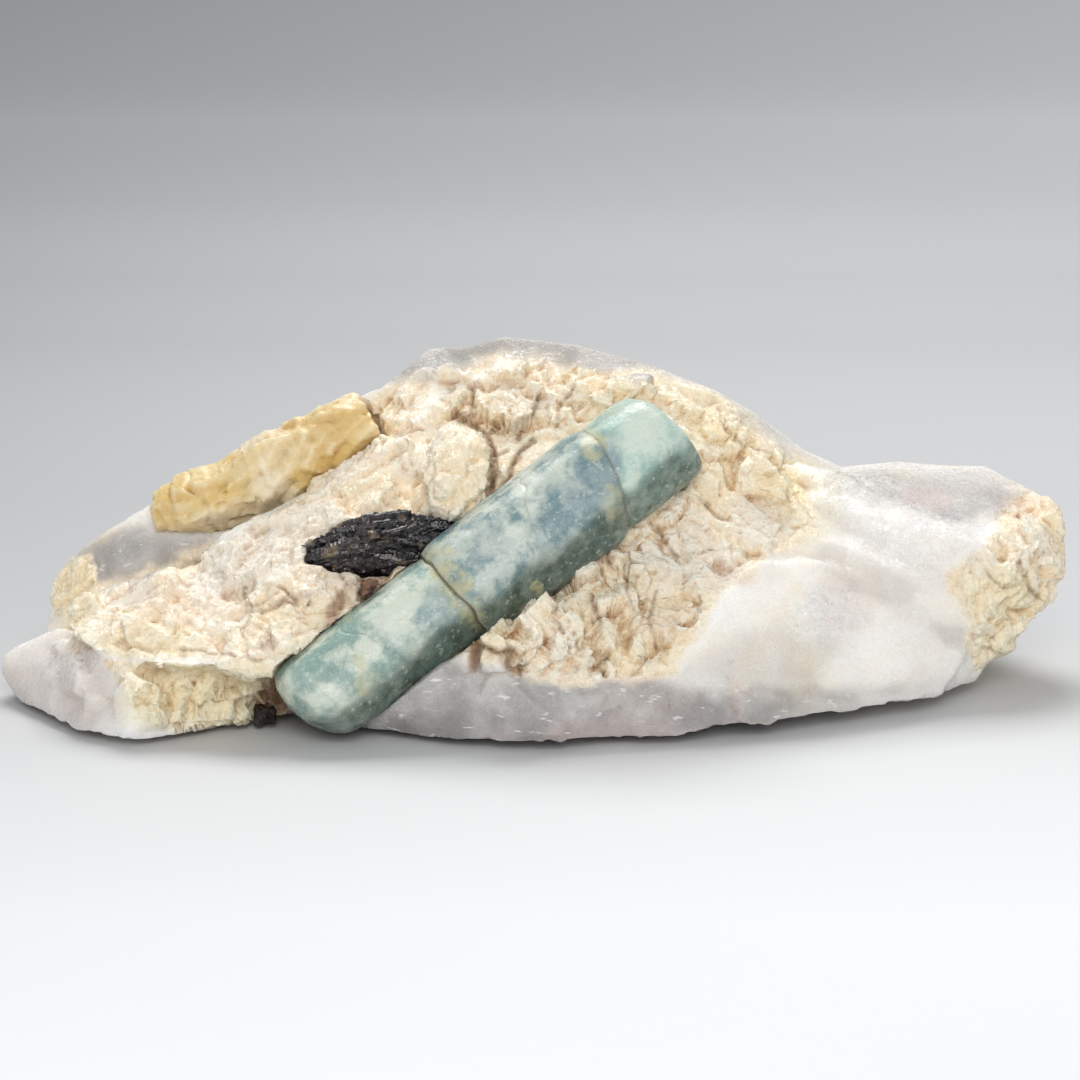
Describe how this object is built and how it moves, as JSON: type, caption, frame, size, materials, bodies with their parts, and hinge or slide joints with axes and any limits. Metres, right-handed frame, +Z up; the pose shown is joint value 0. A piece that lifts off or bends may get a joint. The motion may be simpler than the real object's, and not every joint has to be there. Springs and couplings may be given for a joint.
{
  "type": "aquamarine crystal",
  "caption": "Six-sided aquamarine crystal lying slantwise in a matrix of white quartz and cream feldspar, with black mica and a yellow crystal, resting flat.",
  "frame": {"origin": "middle of the bounding box, at the level of the flat foot", "axes": "+X along the specimen, towards the end with the aquamarine's upper tip; +Y away from the side that shows the aquamarine; +Z up from the flat foot"},
  "size_m": [0.1804, 0.0844, 0.0571],
  "materials": {
    "matrix": "broken, part glassy and part earthy",
    "aquamarine": "milky blue-green, lightly polished",
    "yellow_crystal": "waxy",
    "mica": "black leaves with bright glints",
    "brown_grain": "dull"
  },
  "bodies": {
    "root": {"matrix": "matrix", "aquamarine_crystal": "aquamarine", "yellow_crystal": "yellow_crystal", "biotite_patch": "mica", "biotite_flake": "mica", "brown_grain": "brown_grain"}
  },
  "joints": []
}
